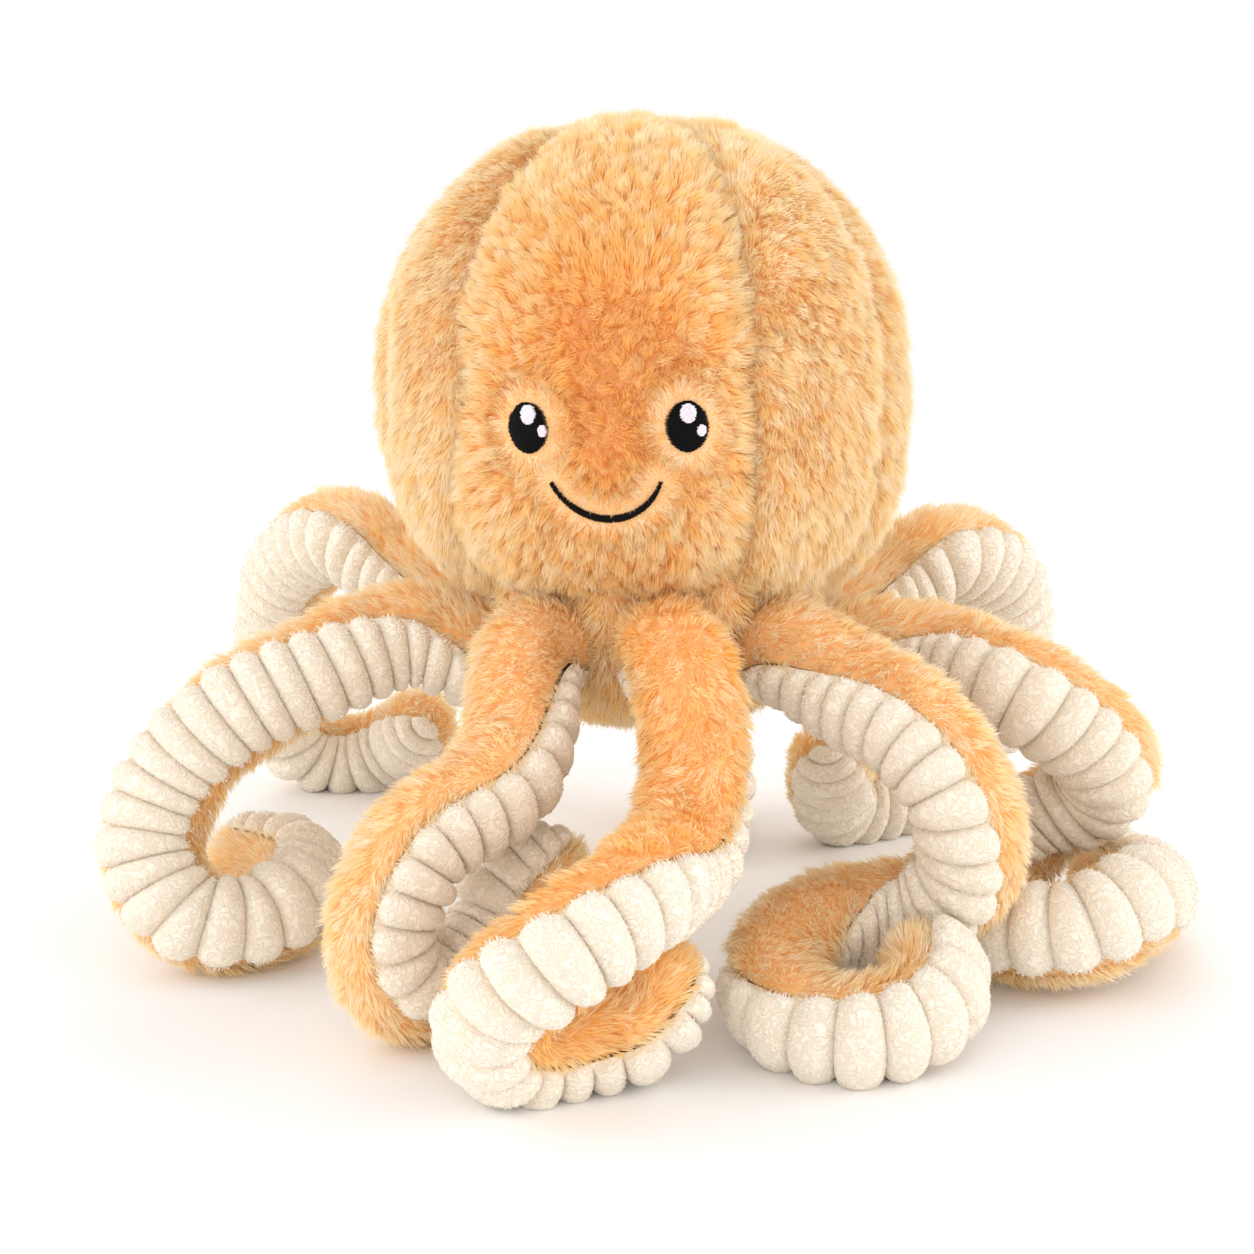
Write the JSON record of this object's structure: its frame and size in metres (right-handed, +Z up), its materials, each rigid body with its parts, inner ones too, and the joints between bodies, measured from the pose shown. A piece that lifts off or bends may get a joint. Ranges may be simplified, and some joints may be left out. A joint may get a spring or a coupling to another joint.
{
  "type": "plush octopus",
  "caption": "Stuffed plush octopus with a round head of sewn gores, curled arms with ribbed undersides and an embroidered face.",
  "frame": {"origin": "on the floor, under the middle of the whole outline", "axes": "+Z up, the face looks along -Y, +X is on the right of someone facing it"},
  "size_m": [0.4148, 0.4314, 0.3188],
  "materials": {
    "orange_fur": "long combed pile",
    "cream_ribbed_plush": "short crinkled pile in ribs",
    "stuffing": "loose fibre",
    "black_thread": "satin stitch",
    "white_thread": "satin stitch"
  },
  "bodies": {
    "head": {"head_gore_face": "orange_fur", "head_gore_front_right": "orange_fur", "head_gore_right": "orange_fur", "head_gore_rear_right": "orange_fur", "head_gore_rear": "orange_fur", "head_gore_rear_left": "orange_fur", "head_gore_left": "orange_fur", "head_stuffing": "stuffing", "base_panel": "orange_fur", "eye_left": "black_thread", "eye_left_large_glint": "white_thread", "eye_left_small_glint": "white_thread", "eye_right": "black_thread", "eye_right_large_glint": "white_thread", "eye_right_small_glint": "white_thread", "mouth": "black_thread"},
    "arm_front": {"arm_front_fur_panel": "orange_fur", "arm_front_ribbed_panel": "cream_ribbed_plush", "arm_front_stuffing": "stuffing"},
    "arm_front_right": {"arm_front_right_fur_panel": "orange_fur", "arm_front_right_ribbed_panel": "cream_ribbed_plush", "arm_front_right_stuffing": "stuffing"},
    "arm_right": {"arm_right_fur_panel": "orange_fur", "arm_right_ribbed_panel": "cream_ribbed_plush", "arm_right_stuffing": "stuffing"},
    "arm_rear_right": {"arm_rear_right_fur_panel": "orange_fur", "arm_rear_right_ribbed_panel": "cream_ribbed_plush", "arm_rear_right_stuffing": "stuffing"},
    "arm_rear": {"arm_rear_fur_panel": "orange_fur", "arm_rear_ribbed_panel": "cream_ribbed_plush", "arm_rear_stuffing": "stuffing"},
    "arm_rear_left": {"arm_rear_left_fur_panel": "orange_fur", "arm_rear_left_ribbed_panel": "cream_ribbed_plush", "arm_rear_left_stuffing": "stuffing"},
    "arm_left": {"arm_left_fur_panel": "orange_fur", "arm_left_ribbed_panel": "cream_ribbed_plush", "arm_left_stuffing": "stuffing"},
    "arm_front_left": {"arm_front_left_fur_panel": "orange_fur", "arm_front_left_ribbed_panel": "cream_ribbed_plush", "arm_front_left_stuffing": "stuffing"}
  },
  "joints": [
    {"name": "arm_front_lift", "type": "hinge", "parent": "head", "child": "arm_front", "pos_m": [0.00432, -0.05842, 0.14666], "axis": [-0.9976, -0.0682, 0.0147], "range_deg": [-5, 20], "stiffness_Nm_per_rad": 2},
    {"name": "arm_front_right_lift", "type": "hinge", "parent": "head", "child": "arm_front_right", "pos_m": [0.04334, -0.0394, 0.14257], "axis": [-0.6561, -0.7378, 0.1589], "range_deg": [-4, 20], "stiffness_Nm_per_rad": 2},
    {"name": "arm_right_lift", "type": "hinge", "parent": "head", "child": "arm_right", "pos_m": [0.05717, 0.00102, 0.13386], "axis": [0.0698, -0.9752, 0.21], "range_deg": [-4, 20], "stiffness_Nm_per_rad": 2},
    {"name": "arm_rear_right_lift", "type": "hinge", "parent": "head", "child": "arm_rear_right", "pos_m": [0.03772, 0.03916, 0.12565], "axis": [0.7547, -0.6414, 0.1381], "range_deg": [-5, 20], "stiffness_Nm_per_rad": 2},
    {"name": "arm_rear_lift", "type": "hinge", "parent": "head", "child": "arm_rear", "pos_m": [-0.00363, 0.05269, 0.12274], "axis": [0.9976, 0.0682, -0.0147], "range_deg": [-5, 20], "stiffness_Nm_per_rad": 2},
    {"name": "arm_rear_left_lift", "type": "hinge", "parent": "head", "child": "arm_rear_left", "pos_m": [-0.04265, 0.03367, 0.12683], "axis": [0.6561, 0.7378, -0.1589], "range_deg": [-5, 18], "stiffness_Nm_per_rad": 2},
    {"name": "arm_left_lift", "type": "hinge", "parent": "head", "child": "arm_left", "pos_m": [-0.05648, -0.00675, 0.13554], "axis": [-0.0698, 0.9752, -0.21], "range_deg": [-5, 20], "stiffness_Nm_per_rad": 2},
    {"name": "arm_front_left_lift", "type": "hinge", "parent": "head", "child": "arm_front_left", "pos_m": [-0.03703, -0.0449, 0.14375], "axis": [-0.7547, 0.6414, -0.1381], "range_deg": [-5, 20], "stiffness_Nm_per_rad": 2}
  ]
}
